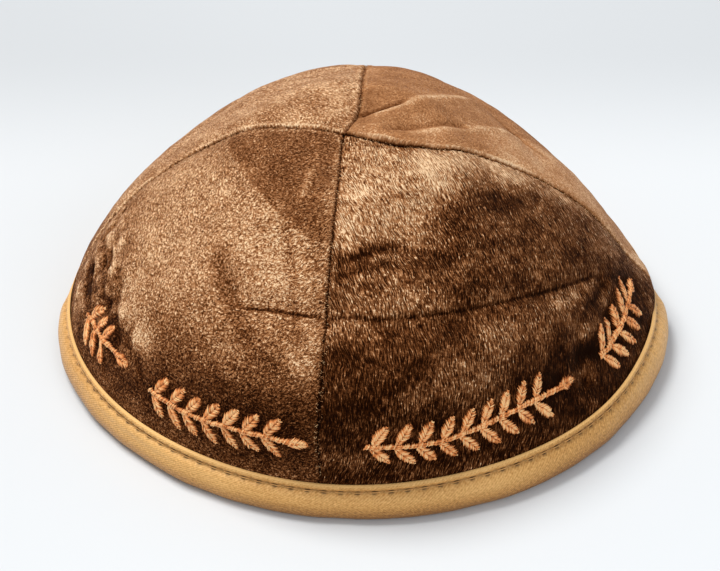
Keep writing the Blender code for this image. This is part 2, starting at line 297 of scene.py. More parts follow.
def outward(azimuth, share):
    # unit normal: cross product of a small step round the cap and a small step up it
    below, above = np.clip(share - 0.002, 0.0, 1.0), np.clip(share + 0.002, 0.0, 1.0)
    roundStep = smoothCrown(azimuth + 0.5, share) - smoothCrown(azimuth - 0.5, share)
    return unit(np.cross(roundStep, smoothCrown(azimuth, above) - smoothCrown(azimuth, below)))


def foldDepth(azimuth, share):
    # each fold is depth * exp(-along^4 - aside^2) in its own turned frame on the cloth
    radius, length = radiusAt(share), lengthAt(share)
    depth = np.zeros_like(share)
    for middle, height, turn, halfLength, halfWidth, deep in broadFolds:
        across = radius * np.radians(degreesFrom(azimuth, middle))
        up = length - lengthAt(height / 1000)
        cos, sin = math.cos(math.radians(turn)), math.sin(math.radians(turn))
        along = hump(across * cos + up * sin, halfLength * millimetre, power=4)
        depth += deep * millimetre * along * hump(up * cos - across * sin, halfWidth * millimetre)
    return depth


def ripple(points, wavelength, seed, count=24):
    # smooth noise of about -1 to 1: a sum of plane waves of one wavelength, random headings
    draw = np.random.default_rng(seed)
    heading = unit(draw.normal(size=(count, 3)))
    heading *= draw.uniform(0.7, 1.4, (count, 1)) * 2 * np.pi / wavelength
    phase = draw.uniform(0, 2 * np.pi, count)
    total = np.zeros(points.shape[:-1])
    for k, p in zip(heading, phase):
        total += np.sin(points @ k + p)
    return total / math.sqrt(count / 2) / 2


def makeMesh(name, points, groups, materials, uv=None, fields=None, faceMaterial=None):
    # points (n, 3), groups of faces (m, 3 to 5), uv and fields one per point
    corners = np.concatenate([group.ravel() for group in groups]).astype(np.int32)
    sides = np.concatenate([np.full(len(group), group.shape[1]) for group in groups])
    starts = np.concatenate([[0], np.cumsum(sides)[:-1]]).astype(np.int32)
    mesh = bpy.data.meshes.new(name)
    mesh.vertices.add(len(points))
    mesh.vertices.foreach_set("co", points.astype(np.float32).ravel())
    mesh.loops.add(len(corners))
    mesh.loops.foreach_set("vertex_index", corners)
    mesh.polygons.add(len(sides))
    mesh.polygons.foreach_set("loop_start", starts)
    if faceMaterial is not None:
        mesh.polygons.foreach_set("material_index", faceMaterial.astype(np.int32))
    mesh.update(calc_edges=True)
    if uv is not None:
        layer = mesh.uv_layers.new(name="clothUV")
        layer.data.foreach_set("uv", uv[corners].astype(np.float32).ravel())
    for key, values in (fields or {}).items():
        made = mesh.attributes.new(key, "FLOAT", "POINT")
        made.data.foreach_set("value", values.astype(np.float32).ravel())
    mesh.polygons.foreach_set("use_smooth", np.ones(len(sides), dtype=bool))
    for material in materials:
        mesh.materials.append(material)
    piece = bpy.data.objects.new(name, mesh)
    bpy.context.scene.collection.objects.link(piece)
    return piece


def quads(index, closedRound=False, closedAlong=False):
    # faces between the neighbouring point numbers of a grid, joined to its start if closed
    index = np.concatenate([index, index[:, :1]], axis=1) if closedRound else index
    index = np.concatenate([index, index[:1]]) if closedAlong else index
    corners = index[:-1, :-1], index[:-1, 1:], index[1:, 1:], index[1:, :-1]
    return np.stack(corners, axis=-1).reshape(-1, 4)


def weld(piece):
    shape = bmesh.new()
    shape.from_mesh(piece.data)
    bmesh.ops.remove_doubles(shape, verts=shape.verts, dist=1e-6)
    shape.to_mesh(piece.data)
    shape.free()


def addNode(tree, kind, *first, output=0, settings=None, **named):
    # a node with its settings, its first inputs and its named inputs; a Wire among them is linked
    made = tree.nodes.new("ShaderNode" + kind)
    for key, value in (settings or {}).items():
        setattr(made, key, value)
    for key, value in [*enumerate(first), *named.items()]:
        socket = made.inputs[key.replace("_", " ") if isinstance(key, str) else key]
        if isinstance(value, Wire):
            tree.links.new(value.socket, socket)
        else:
            socket.default_value = value
    return Wire(made.outputs[output])


class Wire:
    # the output of a node, from which the next node is made: signs add Math nodes
    def __init__(self, socket):
        self.socket = socket
        self.tree = socket.id_data

    def math(self, operation, *others, kind="Math"):
        return addNode(self.tree, kind, self, *others, settings={"operation": operation})

    def __add__(self, other):
        return self.math("ADD", other)

    def __sub__(self, other):
        return self.math("SUBTRACT", other)

    def __mul__(self, other):
        return self.math("MULTIPLY", other)

    def times(self, *sizes):
        return self.math("MULTIPLY", sizes, kind="VectorMath")

    def turned(self, degrees):
        return addNode(self.tree, "Mapping", self, Rotation=(0.0, 0.0, math.radians(degrees)))

    def noise(self, scale, detail=2.0, roughness=0.5, distortion=0.0, output="Fac"):
        return addNode(self.tree, "TexNoise", self, output=output, Scale=scale, Detail=detail,
                       Roughness=roughness, Distortion=distortion)

    def bands(self, direction, scale, distortion, detail, detailScale=1.0):
        return addNode(self.tree, "TexWave", self, output="Fac", settings={"bands_direction": direction},
                       Scale=scale, Distortion=distortion, Detail=detail, Detail_Scale=detailScale)

    def between(self, low, high, newLow=0.0, newHigh=1.0, kind="LINEAR"):
        return addNode(self.tree, "MapRange", self, low, high, newLow, newHigh,
                       settings={"interpolation_type": kind})

    def ramp(self, stops):
        made = addNode(self.tree, "ValToRGB", self)
        elements = made.socket.node.color_ramp.elements
        while len(elements) < len(stops):
            elements.new(0.5)
        for element, (place, colour) in zip(elements, stops):
            element.position = place
            element.color = (*colour, 1.0)
        return made


def freshMaterial(name, **constants):
    made = bpy.data.materials.new(name)
    made.use_nodes = True
    for key, value in constants.items():
        made.node_tree.nodes["Principled BSDF"].inputs[key.replace("_", " ")].default_value = value
    return made, made.node_tree


def clothIn(tree):
    # the cloth's own plane, in centimetres
    return addNode(tree, "UVMap", settings={"uv_map": "clothUV"})


def placeIn(tree):
    return addNode(tree, "TexCoord", output="Object")


def fieldIn(tree, name):
    return addNode(tree, "Attribute", output="Fac", settings={"attribute_name": name})


def finishMaterial(tree, colour, roughness, height, bump):
    # bump is how high the pattern stands and how strongly it shows
    inputs = tree.nodes["Principled BSDF"].inputs
    normal = addNode(tree, "Bump", Height=height, Distance=bump[0], Strength=bump[1])
    for key, wire in (("Base Color", colour), ("Roughness", roughness), ("Normal", normal)):
        tree.links.new(wire.socket, inputs[key])


# Velvet. Every gore is cut with the pile lying its own way, so each has its own look: the
# heading of its strokes in degrees from the cloth's upright, how streaky or grainy they
# are, how crushed, its tone, a painted sheen for how its nap takes the light, and the painted
# shade near the binding. The lips are the raised edges beside its first and second seam: how
# far each stands out in mm, and how much lighter, a painted highlight; the seam shade is the
# painted shade right at each.
velvetLooks = {
    "panel_front_right": {
        "heading": 25.0, "streak": 1.0, "grain": 0.25, "tone": 0.49, "contrast": 1.12, "crush": 0.70,
        "footShade": 0.26, "lips": ((0.10, 0.05), (0.15, 0.02)), "seamShade": (0.26, 0.80)},
    "panel_front_left": {
        "heading": -12.0, "streak": 0.3, "grain": 1.0, "tone": 0.585, "contrast": 0.9, "crush": 0.45,
        "footShade": 0.21, "lips": ((0.05, 0.0), (0.10, 0.0)), "seamShade": (0.40, 0.34)},
    "panel_back_left": {
        "heading": 10.0, "streak": 0.4, "grain": 0.9, "tone": 0.69, "contrast": 0.85, "crush": 0.60,
        "footShade": 0.14, "lips": ((0.20, 0.05), (0.45, 0.16)), "seamShade": (0.20, 0.34)},
    "panel_back_right": {
        "heading": 55.0, "streak": 0.3, "grain": 0.5, "tone": 0.67, "contrast": 0.42, "crush": 0.70,
        "footShade": 0.05, "lips": ((0.75, 0.02), (0.25, 0.04)), "seamShade": (0.80, 0.16)},
}
# The pile's pattern: scales are per centimetre of cloth, the crush's per metre
pile = {
    "swirl": (1.1, 0.30),  # how often the heading wanders, and how far in cm
    "strokes": (33.0, 3.4),  # across and along
    "grains": 15.5,
    "glints": (28.0, 19.0),  # across, and how much less along where it is streaky
    "curlGlints": (13.0, 0.05),  # and how thin
    "curlPatches": 7.0,
    "crush": 120.0,
    "fineShare": 0.82,
    "glintShare": 0.36,
    "bump": (0.5 * millimetre, 0.85),
    "glow": (1.0, 0.58, 0.30, 1.0),  # of its sheen and gloss
    # the pile's colour, from its deepest painted shade up to a painted glint
    "colours": (
        (0.00, (0.008, 0.0016, 0.0003)), (0.25, (0.036, 0.0086, 0.0017)),
        (0.50, (0.172, 0.0570, 0.0165)), (0.75, (0.510, 0.2330, 0.0960)), (1.00, (1.0, 0.70, 0.42))),
}


def velvetMaterial(name, look):
    made, tree = freshMaterial(name, Sheen_Weight=0.02, Sheen_Roughness=0.3, Sheen_Tint=pile["glow"],
                               IOR=1.2, Specular_IOR_Level=0.17, Specular_Tint=pile["glow"])
    cloth, streak = clothIn(tree), look["streak"]
    often, far = pile["swirl"]
    wander = cloth.noise(often, output="Color").math("SUBTRACT", (0.5, 0.5, 0.5), kind="VectorMath")
    swirled = wander.math("MULTIPLY_ADD", (far, far, 0.0), cloth, kind="VectorMath")
    laid = swirled.turned(look["heading"])
    streaks = laid.times(*pile["strokes"], 1.0).noise(1.0, 2.0, 0.55).between(0.32, 0.70)
    grains = swirled.noise(pile["grains"], 1.5, 0.5, 0.9).between(0.32, 0.70)
    # glints are painted highlights: bright specks in the base colour, weaker where the painted shade is deep
    across, less = pile["glints"]
    glints = laid.times(across, across - less * streak, 1.0).noise(1.0, 0.5).between(0.60, 0.72)
    # curl glints are painted highlights: thin lines where a noise passes its middle, broken up by another
    scale, thin = pile["curlGlints"]
    curlGlints = (swirled.noise(scale, 1.0) - 0.5).math("ABSOLUTE").between(0.0, thin, 1.0, 0.0)
    curlGlints = curlGlints * cloth.noise(pile["curlPatches"], 1.0).between(0.44, 0.58)
    glints = (glints * (0.4 + 0.6 * streak)).math("MAXIMUM", curlGlints * look["grain"])
    height = (streaks * streak + grains * look["grain"]) * (1 / (streak + look["grain"]))
    tone = fieldIn(tree, "paintedPileLight")
    shown = fieldIn(tree, "grain") * look["contrast"]
    fine = (height - 0.5) * shown * pile["fineShare"]
    broad = (placeIn(tree).noise(pile["crush"], 4.0, 0.55) - 0.5) * shown * look["crush"]
    glints = glints * tone.between(0.15, 0.50, 0.55, 1.0) * shown * pile["glintShare"]
    # the base colour: painted glints, and the painted sheen and shade over the pile's grain and crush
    lift = glints + (fine + broad + (tone + (look["tone"] - 0.5)))
    gloss = lift.between(0.2, 0.95, 0.85, 0.45)
    finishMaterial(tree, lift.ramp(pile["colours"]), gloss, height, pile["bump"])
    return made


def backingMaterial():
    # the woven back of the velvet, seen inside the cap
    made, tree = freshMaterial("wovenBacking", Sheen_Weight=0.15)
    cloth = clothIn(tree)
    weave = cloth.bands("X", 6.0, 0.6, 1.0) * cloth.bands("Y", 6.0, 0.6, 1.0)
    shade = cloth.noise(1.4, 3.0) * 0.5 + weave * 0.5
    colour = shade.ramp(((0.1, (0.060, 0.028, 0.013)), (0.8, (0.150, 0.078, 0.038))))
    finishMaterial(tree, colour, weave.between(0.0, 1.0, 0.95, 0.8), weave, (0.2 * millimetre, 0.6))
    return made


velvet = {
    "grid": {"panel_front_right": (220, 280), "panel_front_left": (220, 280),
             "panel_back_left": (160, 200), "panel_back_right": (160, 220)},
    "wall": 1.7 * millimetre,
    "gap": 0.10 * millimetre,  # between two gores
    "tip": 0.25 * millimetre,  # the gores end this far from the apex
    "foot": 1.4 * millimetre,  # height of their lower edge, in the binding
    "seamPull": (0.7 * millimetre, 4.0 * millimetre),  # depth and reach of a seam's valley
    "seamNip": (0.6 * millimetre, 0.5 * millimetre),  # the sharp turn beside the stitching
    "lip": (1.3 * millimetre, 0.75 * millimetre),  # the raised edge's place and reach
    "lipPressed": (0.15, 0.34),  # it lies flat at the binding, and stands free above these shares
    "lipSwell": ("panel_back_right", 0, 0.940, 0.030, 1.00, 0.10),  # seam, share, spread, mm, and the tone of its painted highlight
    "seamShadeReach": 0.45 * millimetre,
    "pucker": (0.14 * millimetre, 2.6 * millimetre, 2.2 * millimetre),  # depth, pitch, reach
    "unevenness": ((0.20 * millimetre, 0.030), (0.12 * millimetre, 0.012), (0.05 * millimetre, 0.005)),
    "crumple": ((0.75, 0.0080, 23), (0.40, 0.0040, 29)),  # share, wavelength and seed of its ripples
    "footShares": (0.24, 0.44),  # the dark foot ends between these
}
needlework = {  # azimuths where each group starts and ends, and the height of its middle
    "groups": {"Left": (-163.0, -143.0), "FrontLeft": (-133.5, -100.0),
               "FrontRight": (-88.5, -44.0), "Right": (-33.0, -8.0)},
    "height": 24.3 * millimetre,
    "reach": 8.0 * millimetre,
    "sunk": 0.35 * millimetre,  # the velvet is drawn in round the threads
    # painted shade on the velvet round the threads
    "shade": 0.10,
    "puckers": (0.20 * millimetre, 0.0055, 71),  # depth, wavelength and seed
}


def planOf(azimuth, share):
    # the crown laid flat in mm: distance from the apex along the cloth, at its azimuth
    away, angle = (meridianLengths[-1] - lengthAt(share)) / millimetre, np.radians(azimuth)
    return np.stack([away * np.cos(angle), away * np.sin(angle)], axis=-1)


def softened(row, closed):
    # a table row's places laid flat, and its corners cut twice: each edge keeps its middle half
    azimuth, thousandths = np.reshape(row[3:], (-1, 2)).T
    corners = planOf(azimuth, thousandths / 1000)
    for _ in range(2):
        after = np.roll(corners, -1, axis=0) if closed else corners[1:]
        before = corners if closed else corners[:-1]
        cut = np.stack([0.75 * before + 0.25 * after, 0.25 * before + 0.75 * after], axis=1).reshape(-1, 2)
        corners = cut if closed else np.concatenate([corners[:1], cut[1:-1], corners[-1:]])
    return corners


def toEdges(plan, starts, ends):
    # distance to the nearest of some straight edges, and which share of the way that is
    nearest, where = np.full(plan.shape[:-1], 1e9), np.zeros(plan.shape[:-1])
    lengths = np.linalg.norm(ends - starts, axis=1)
    passed = np.concatenate([[0.0], np.cumsum(lengths)])
    for start, end, length, before in zip(starts, ends, lengths, passed):
        along = np.clip((plan - start) @ (end - start) / max(length**2, 1e-9), 0.0, 1.0)
        distance = np.linalg.norm(plan - start - along[..., None] * (end - start), axis=-1)
        where = np.where(distance < nearest, (before + along * length) / passed[-1], where)
        nearest = np.minimum(distance, nearest)
    return nearest, where


def creaseFields(plan):
    # each crease is a Gaussian across its line that fades towards both ends, for its depth and its painted
    # shade
    depth, shade = np.zeros(plan.shape[:-1]), np.zeros(plan.shape[:-1])
    for row in creases:
        halfWidth, deep, creaseShade = row[:3]
        line = softened(row, closed=False)
        distance, along = toEdges(plan, line[:-1], line[1:])
        strength = hump(distance, halfWidth) * rising(along, -0.08, 0.14) * (1 - rising(along, 0.86, 1.08))
        depth += deep * millimetre * strength
        shade += creaseShade * strength
    return depth, shade


def areaFields(plan):
    # each area's painted sheen or shade times a mask that rises smoothly across its outline
    change, grain = np.zeros(plan.shape[:-1]), np.ones(plan.shape[:-1])
    for row in paintedLightAreas:
        soft, lighter, grainThere = row[:3]
        corners = softened(row, closed=True)
        ends = np.roll(corners, -1, axis=0)
        distance = toEdges(plan, corners, ends)[0]
        inside = np.zeros(plan.shape[:-1], dtype=bool)
        for (x0, y0), (x1, y1) in zip(corners, ends):
            crosses = (y0 > plan[..., 1]) != (y1 > plan[..., 1])
            level = (plan[..., 1] - y0) / (y1 - y0 if y1 != y0 else 1e-9)
            inside ^= crosses & (plan[..., 0] < x0 + level * (x1 - x0))
        mask = rising(np.where(inside, distance, -distance), -soft, soft)
        change += lighter * mask
        grain *= 1 + (grainThere - 1) * mask
    return change, grain


def crumpling(azimuth, share, points):
    # short ripples together, which fade away from each crumpled place, with painted shade in their hollows
    # and painted highlight on their ridges
    plan = planOf(azimuth, share)
    depth, tone = np.zeros_like(share), np.zeros_like(share)
    wave = sum(part * ripple(points, wavelength, seed) for part, wavelength, seed in velvet["crumple"])
    for middle, height, reach, deep, change in crumples:
        away = np.linalg.norm(plan - planOf(middle, height / 1000), axis=-1)
        strength = hump(away, reach, power=4) * wave
        depth += deep * millimetre * strength
        tone -= change * strength
    return depth, tone


def needleworkMask(azimuth, share):
    # 1 inside the groups' bands, falling off within a few mm
    up = lengthAt(share) - lengthAt(shareAtHeight(needlework["height"]))
    return hump(up, needlework["reach"], power=4) * sum(
        hump(degreesFrom(azimuth, (start + end) / 2), (end - start) / 2 + 2.0, power=6)
        for start, end in needlework["groups"].values())


def aboveBinding(share):
    # 0 inside the binding, where the cloth is held round, to 1 just above it
    return rising(share, crown["roundShare"], crown["roundShare"] + crown["foldShare"])


def crownSink(azimuth, share, points):
    # how far folds, creases, needlework and unevenness sink the cloth below the smooth crown
    deep, wavelength, seed = needlework["puckers"]
    sink = foldDepth(azimuth, share) + creaseFields(planOf(azimuth, share))[0]
    sink += crumpling(azimuth, share, points)[0]
    sink += needleworkMask(azimuth, share) * (needlework["sunk"] + deep * ripple(points, wavelength, seed))
    for deep, wavelength in velvet["unevenness"]:
        sink += deep * ripple(points, wavelength, int(wavelength * 1e4))
    return sink * aboveBinding(share)


def seamPull(fromSeam, share):
    # how far the seam draws the cloth in: a wide valley, a sharp nip and small puckers along it
    pull = sum(deep * hump(fromSeam, reach) for deep, reach in (velvet["seamPull"], velvet["seamNip"]))
    deep, pitch, reach = velvet["pucker"]
    puckers = deep * hump(fromSeam, reach) * np.sin(2 * np.pi * lengthAt(share) / pitch)
    return pull * (0.55 + 0.45 * rising(share, 0.15, 0.6)) + puckers


def goreSpan(node, share):
    # azimuths of the gore's two seams, and its width there
    start, end = (seamAt(name, share) for name in seamsOf[node])
    end = end + 360.0 * (end < start)
    return start, end, radiusAt(share) * np.radians(end - start)


def gorePoints(node, across, up):
    # the crown's smooth surface between two seams, sunk along its normal by folds, by the
    # pull of the nearer seam, by small puckers beside it, and by an even unevenness
    low = shareAtHeight(velvet["foot"])
    high = np.interp(-velvet["tip"], -radiusAt(meridianShares[200:]), meridianShares[200:])
    share = low + up * (high - low)
    start, end, width = goreSpan(node, share)
    inset = np.where(up < 1, np.clip(velvet["gap"] / 2 / width, 0.0, 0.5), 0.5)
    # columns crowd towards both seams: distance to the nearer one goes with its 1.5th power
    crowded = 0.5 * (2 * np.minimum(across, 1 - across)) ** 1.5
    place = inset + np.where(across < 0.5, crowded, 1 - crowded) * (1 - 2 * inset)
    azimuth = start + place * (end - start)
    points, normals = smoothCrown(azimuth, share), outward(azimuth, share)
    plan, look = planOf(azimuth, share), velvetLooks[node]
    change, grain = areaFields(plan)
    # painted sheen and shade on the pile: the areas' and crumples' painted light, the creases' painted shade,
    # painted shade at the foot and round the needlework, painted highlights on the lips and painted shade at
    # the seams
    paintedPileLight = 0.5 + change - creaseFields(plan)[1] + crumpling(azimuth, share, points)[1]
    paintedPileLight -= look["footShade"] * (1 - rising(share, *velvet["footShares"]))
    paintedPileLight -= needlework["shade"] * needleworkMask(azimuth, share)
    pull = seamPull(np.minimum(place, 1 - place) * width, share)
    lipPlace, lipReach = velvet["lip"]
    swollen, which, middle, spread, deep, tone = velvet["lipSwell"]
    for side, (raised, lighter), dark in zip((0, 1), look["lips"], look["seamShade"]):
        distance = (1 - place if side else place) * width
        beside = hump(distance - lipPlace, lipReach)
        swell = (swollen == node and which == side) * hump(share - middle, spread)
        free = rising(share, *velvet["lipPressed"])
        pull -= (raised + deep * swell) * millimetre * beside * free
        dark = dark * (0.5 + 0.5 * rising(share, 0.15, 0.60))  # softer towards the binding
        paintedPileLight += (lighter + tone * swell) * beside - dark * hump(distance, velvet["seamShadeReach"])
    sink = crownSink(azimuth, share, points) + pull * aboveBinding(share)
    uv = np.stack([(place - 0.5) * width, lengthAt(share)], axis=-1) * 100  # in centimetres
    return points - sink[..., None] * normals, normals, paintedPileLight, grain, uv


def edgeLoop(index):
    # the numbers along a grid's edge: first row, last column, last row back, first column down
    return np.concatenate([index[0], index[1:, -1], index[-1, -2::-1], index[-2:0:-1, 0]])


def cutOf(node):
    # the gore laid flat: its widest row, its length up the crown, and the area of all its rows
    share = np.linspace(float(shareAtHeight(velvet["foot"])), 1.0, 200)
    width, length = goreSpan(node, share)[2], lengthAt(share)
    area = np.sum((width[1:] + width[:-1]) / 2 * np.diff(length))
    return float(width.max()), float(length[-1] - length[0]), float(area)


def bothFaces(values, size):
    # a value of each point of the outer face, then of every second one, where the inner face is
    return np.concatenate([values.reshape(-1, size), values[::2, ::2].reshape(-1, size)])


def velvetGore(node):
    # the outer face is a dense grid, the inner one takes every second point of it pushed in
    # by the wall, and five-sided faces close the wall between their edges
    steps, lifts = velvet["grid"][node]
    across, up = np.meshgrid(np.linspace(0, 1, steps + 1), np.linspace(0, 1, lifts + 1))
    outer, normals, paintedPileLight, grain, uv = gorePoints(node, across, up)
    inner = (outer - velvet["wall"] * normals)[::2, ::2]
    index = np.arange(across.size).reshape(across.shape)
    innerIndex = across.size + np.arange(inner.size // 3).reshape(inner.shape[:2])
    edge, innerEdge = edgeLoop(index), edgeLoop(innerIndex)
    wallFaces = np.stack([np.roll(edge, -2)[::2], np.roll(edge, -1)[::2], edge[::2],
                          innerEdge, np.roll(innerEdge, -1)], axis=-1)
    groups = [quads(index), quads(innerIndex)[:, ::-1], wallFaces]
    name = "velvet" + node.title().replace("_", "")[len("panel"):]
    piece = makeMesh(
        name, np.concatenate([outer.reshape(-1, 3), inner.reshape(-1, 3)]), groups,
        (velvetMaterial(name, velvetLooks[node]), backing),
        uv=bothFaces(uv, 2), fields={"paintedPileLight": bothFaces(paintedPileLight, 1), "grain": bothFaces(grain, 1)},
        faceMaterial=np.repeat([0, 1, 0], [len(group) for group in groups]))
    weld(piece)
    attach(piece, "root")
    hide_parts(node)
    width, length, area = cutOf(node)
    return piece


def threadMaterial(name, stops, roughness=0.42):
    made, tree = freshMaterial(name, Sheen_Weight=0.05, Sheen_Roughness=0.3, Sheen_Tint=(1.0, 0.7, 0.45, 1.0),
                               Specular_IOR_Level=0.35, Specular_Tint=(1.0, 0.75, 0.5, 1.0))
    fuzz = placeIn(tree).noise(2600.0)
    tone = (fuzz - 0.5) * 0.6 + fieldIn(tree, "strandTone")
    shine = fuzz.between(0.3, 0.7, roughness + 0.08, roughness - 0.08)
    finishMaterial(tree, tone.ramp(stops), shine, fuzz, (0.08 * millimetre, 0.6))
    return made


def tubes(paths, radii, sideways, raised, sides):
    # a tube along each path (n, m, 3), with two unit vectors across it at each point
    turn = np.linspace(0, 2 * np.pi, sides, endpoint=False)
    ring = np.cos(turn)[:, None] * sideways[..., None, :] + np.sin(turn)[:, None] * raised[..., None, :]
    n, m = paths.shape[:2]
    points = paths[..., None, :] + np.broadcast_to(radii, (n, m))[..., None, None] * ring
    faces = quads(np.arange(m * sides).reshape(m, sides), closedRound=True)
    return points.reshape(-1, 3), (faces[None] + (np.arange(n) * m * sides)[:, None, None]).reshape(-1, 4)


def tubesOnCloth(paths, radii, normals, sides):
    # tubes that lie with their first side along the cloth: normal x forward, forward x that
    forward = unit(np.gradient(paths, axis=1))
    sideways = unit(np.cross(normals, forward))
    return tubes(paths, radii, sideways, np.cross(forward, sideways), sides)


# Pile that stands over the seams: short fibres from both edges, leaning across the stitching
fringe = {
    "perMillimetre": 1.3,  # on each side
    "fromSeam": (0.45, 1.20),  # where they stand, in mm
    "length": (0.6, 1.35),
    "along": np.array([0.0, 0.35, 0.7, 1.0]) * 0.85,  # places along a fibre, and their height
    "rise": np.array([-0.10, 0.16, 0.20, 0.10]),
    "thick": 0.075 * millimetre * np.array([0.0, 1.0, 0.8, 0.0]),
    "shares": (0.16, 0.985),
    "colours": ((0.10, (0.160, 0.055, 0.017)), (0.60, (0.480, 0.220, 0.085)), (1.0, (1.0, 0.64, 0.32))),
    "seed": 23,
}


def pileFringe():
    draw = np.random.default_rng(fringe["seed"])
    lowest, highest = (lengthAt(share) for share in fringe["shares"])
    count = int((highest - lowest) / millimetre * fringe["perMillimetre"])
    rows = []
    for seam in seamNames:
        for side in (-1, 1):
            share = shareAtLength(draw.uniform(lowest, highest, count))
            distance = draw.uniform(*fringe["fromSeam"], count) * millimetre
            azimuth = seamAt(seam, share) + side * np.degrees(distance / radiusAt(share))
            rows.append((azimuth, share, np.full(count, side), distance))
    azimuth, share, side, distance = np.concatenate(rows, axis=1)
    points, normals = smoothCrown(azimuth, share), outward(azimuth, share)
    sink = crownSink(azimuth, share, points) + seamPull(distance, share)
    root = points - sink[:, None] * normals
    angle = np.radians(azimuth)
    east = np.stack([-np.sin(angle), np.cos(angle), np.zeros_like(angle)], axis=-1)
    lean = -side[:, None] * east * draw.uniform(0.5, 1.0, (len(side), 1))
    lean = unit(lean + np.cross(east, normals) * draw.normal(0, 0.6, (len(side), 1)))
    long = draw.uniform(*fringe["length"], (len(side), 1, 1)) * millimetre
    paths = root[:, None] + long * (fringe["along"][:, None] * lean[:, None]
                                    + fringe["rise"][:, None] * normals[:, None])
    places, faces = tubesOnCloth(paths, fringe["thick"], normals[:, None], 3)
    tone = np.repeat(draw.uniform(0.0, 1.0, len(paths)), 4 * 3)
    piece = makeMesh("seamPile", places, [faces], (threadMaterial("pileFibre", fringe["colours"], 0.7),),
                     fields={"strandTone": tone})
    weld(piece)
    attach(piece, "root")
    return piece


backing = backingMaterial()
for node in seamsOf:
    piece = velvetGore(node)
    print("sewed", piece.name, len(piece.data.polygons), "faces")
piece = pileFringe()
print("raised the pile over the seams", len(piece.data.polygons), "faces")


# Satin binding: a folded tape whose section is carried round the rim
tape = {
    "stepsPerStitch": 10,
    "sectionSteps": 72,
    "fineSteps": (0.0, 9.5, 3.0),  # from and to along the section in mm, how much finer
    "height": tapeHigh[2],
    "section": np.array([  # outward from the velvet in mm, height as a share of the tape's
        (0.15, 0.990), (0.50, 1.018), (0.95, 1.010), (1.28, 0.975), (1.30, 0.930), (1.05, 0.892),
        (0.75, 0.855), (1.20, 0.818), (2.10, 0.765), (2.92, 0.660), (3.52, 0.520), (3.80, 0.370),
        (3.66, 0.210), (3.00, 0.080), (1.80, 0.012), (0.20, 0.002), (-1.50, 0.004), (-3.00, 0.080),
        (-3.70, 0.300), (-3.70, 0.550), (-3.20, 0.780), (-2.60, 0.870), (-2.15, 0.840),
        (-2.10, 0.500), (-2.05, 0.110), (-0.80, 0.085), (0.10, 0.110), (0.15, 0.500),
    ]),
    "stitchHeight": 0.855,
    "stitchPitch": 4.85 * millimetre,
    "pullIn": (0.60 * millimetre, 0.085),  # how far a stitch draws the satin in, over what share
    "puff": (0.05 * millimetre, 0.66, 0.16),  # how far it swells between two, at and over what
    "slowWaves": ((17, 0.7, 0.5), (29, 2.1, 0.3), (43, 0.0, 0.2)),  # round the rim, start, share
    "waviness": 0.22 * millimetre,
    "heldWithin": 0.2 * millimetre,  # of the velvet, where a pinch leaves the tape as it is
    "hole": (0.70 * millimetre, 0.32 * millimetre),  # a needle hole's half length and half height
    # painted shade in the groove under the lip and in the needle holes
    "groovePaintedShade": 0.58,
    "holePaintedShade": 1.5,
    "footPaintedShade": (0.50, 0.02, 0.70),  # painted shade at its foot: how dark, up to what share of the height
    "lipPaintedShade": (0.16, 0.92, 0.035),  # painted shade on the lip's face: how dark, at what share, over what share
    "lipPaintedHighlight": (0.45, 1.01, 0.022),  # painted highlight along the lip's top edge
}
# The roll is flatter where the crown's sides lean on it, and fuller at the right:
# azimuth, half width in degrees, change in mm
rollChanges = ((-80.0, 34.0, 0.45), (-6.0, 9.0, 1.1), (-34.0, 12.0, -0.5), (-136.0, 20.0, -1.1),
               (90.0, 30.0, -0.4))
rollPinches = ((162.0, 16.0, 0.80), (22.5, 18.5, 0.80))  # azimuth, half width, share pressed flat
# Where the lip lies lower or higher, and where the satin has painted light or shade round the rim: azimuth,
# half width, mm or tone
lipChanges = ((-97.0, 24.0, -1.2), (-86.0, 66.0, -0.5), (-19.0, 15.0, 1.7))
satinPaintedTones = ((-128.0, 24.0, 0.20), (-90.0, 26.0, 0.03), (-40.0, 16.0, -0.06), (-8.0, 14.0, 0.10))
stitchRadius = radiusAt(shareAtHeight(tape["stitchHeight"] * tape["height"])) + 1.2 * millimetre
stitchCount = int(round(2 * math.pi * stitchRadius / tape["stitchPitch"]))


def roundSection(controls, count):
    # a closed Catmull-Rom curve through the control points, sampled by length, more
    # finely about the lip and the stitches
    fine = np.linspace(0, len(controls), 40 * len(controls), endpoint=False)
    i, x = fine.astype(int), (fine % 1)[:, None]
    a, b, c, d = (controls[(i + k) % len(controls)] for k in (-1, 0, 1, 2))
    curve = 0.5 * (2 * b + (c - a) * x + (2 * a - 5 * b + 4 * c - d) * x**2
                   + (3 * b - a - 3 * c + d) * x**3)
    steps = np.linalg.norm(np.roll(curve, -1, axis=0) - curve, axis=1)
    run = np.concatenate([[0.0], np.cumsum(steps)[:-1]])
    fineFrom, fineTo, finer = tape["fineSteps"]
    density = np.where((run >= fineFrom * millimetre) & (run < fineTo * millimetre), finer, 1.0)
    spent = np.concatenate([[0.0], np.cumsum(steps * density)])
    wanted = np.interp(np.linspace(0, spent[-1], count, endpoint=False), spent[:-1], run)
    return np.stack([np.interp(wanted, run, curve[:, k]) for k in (0, 1)], axis=-1), wanted


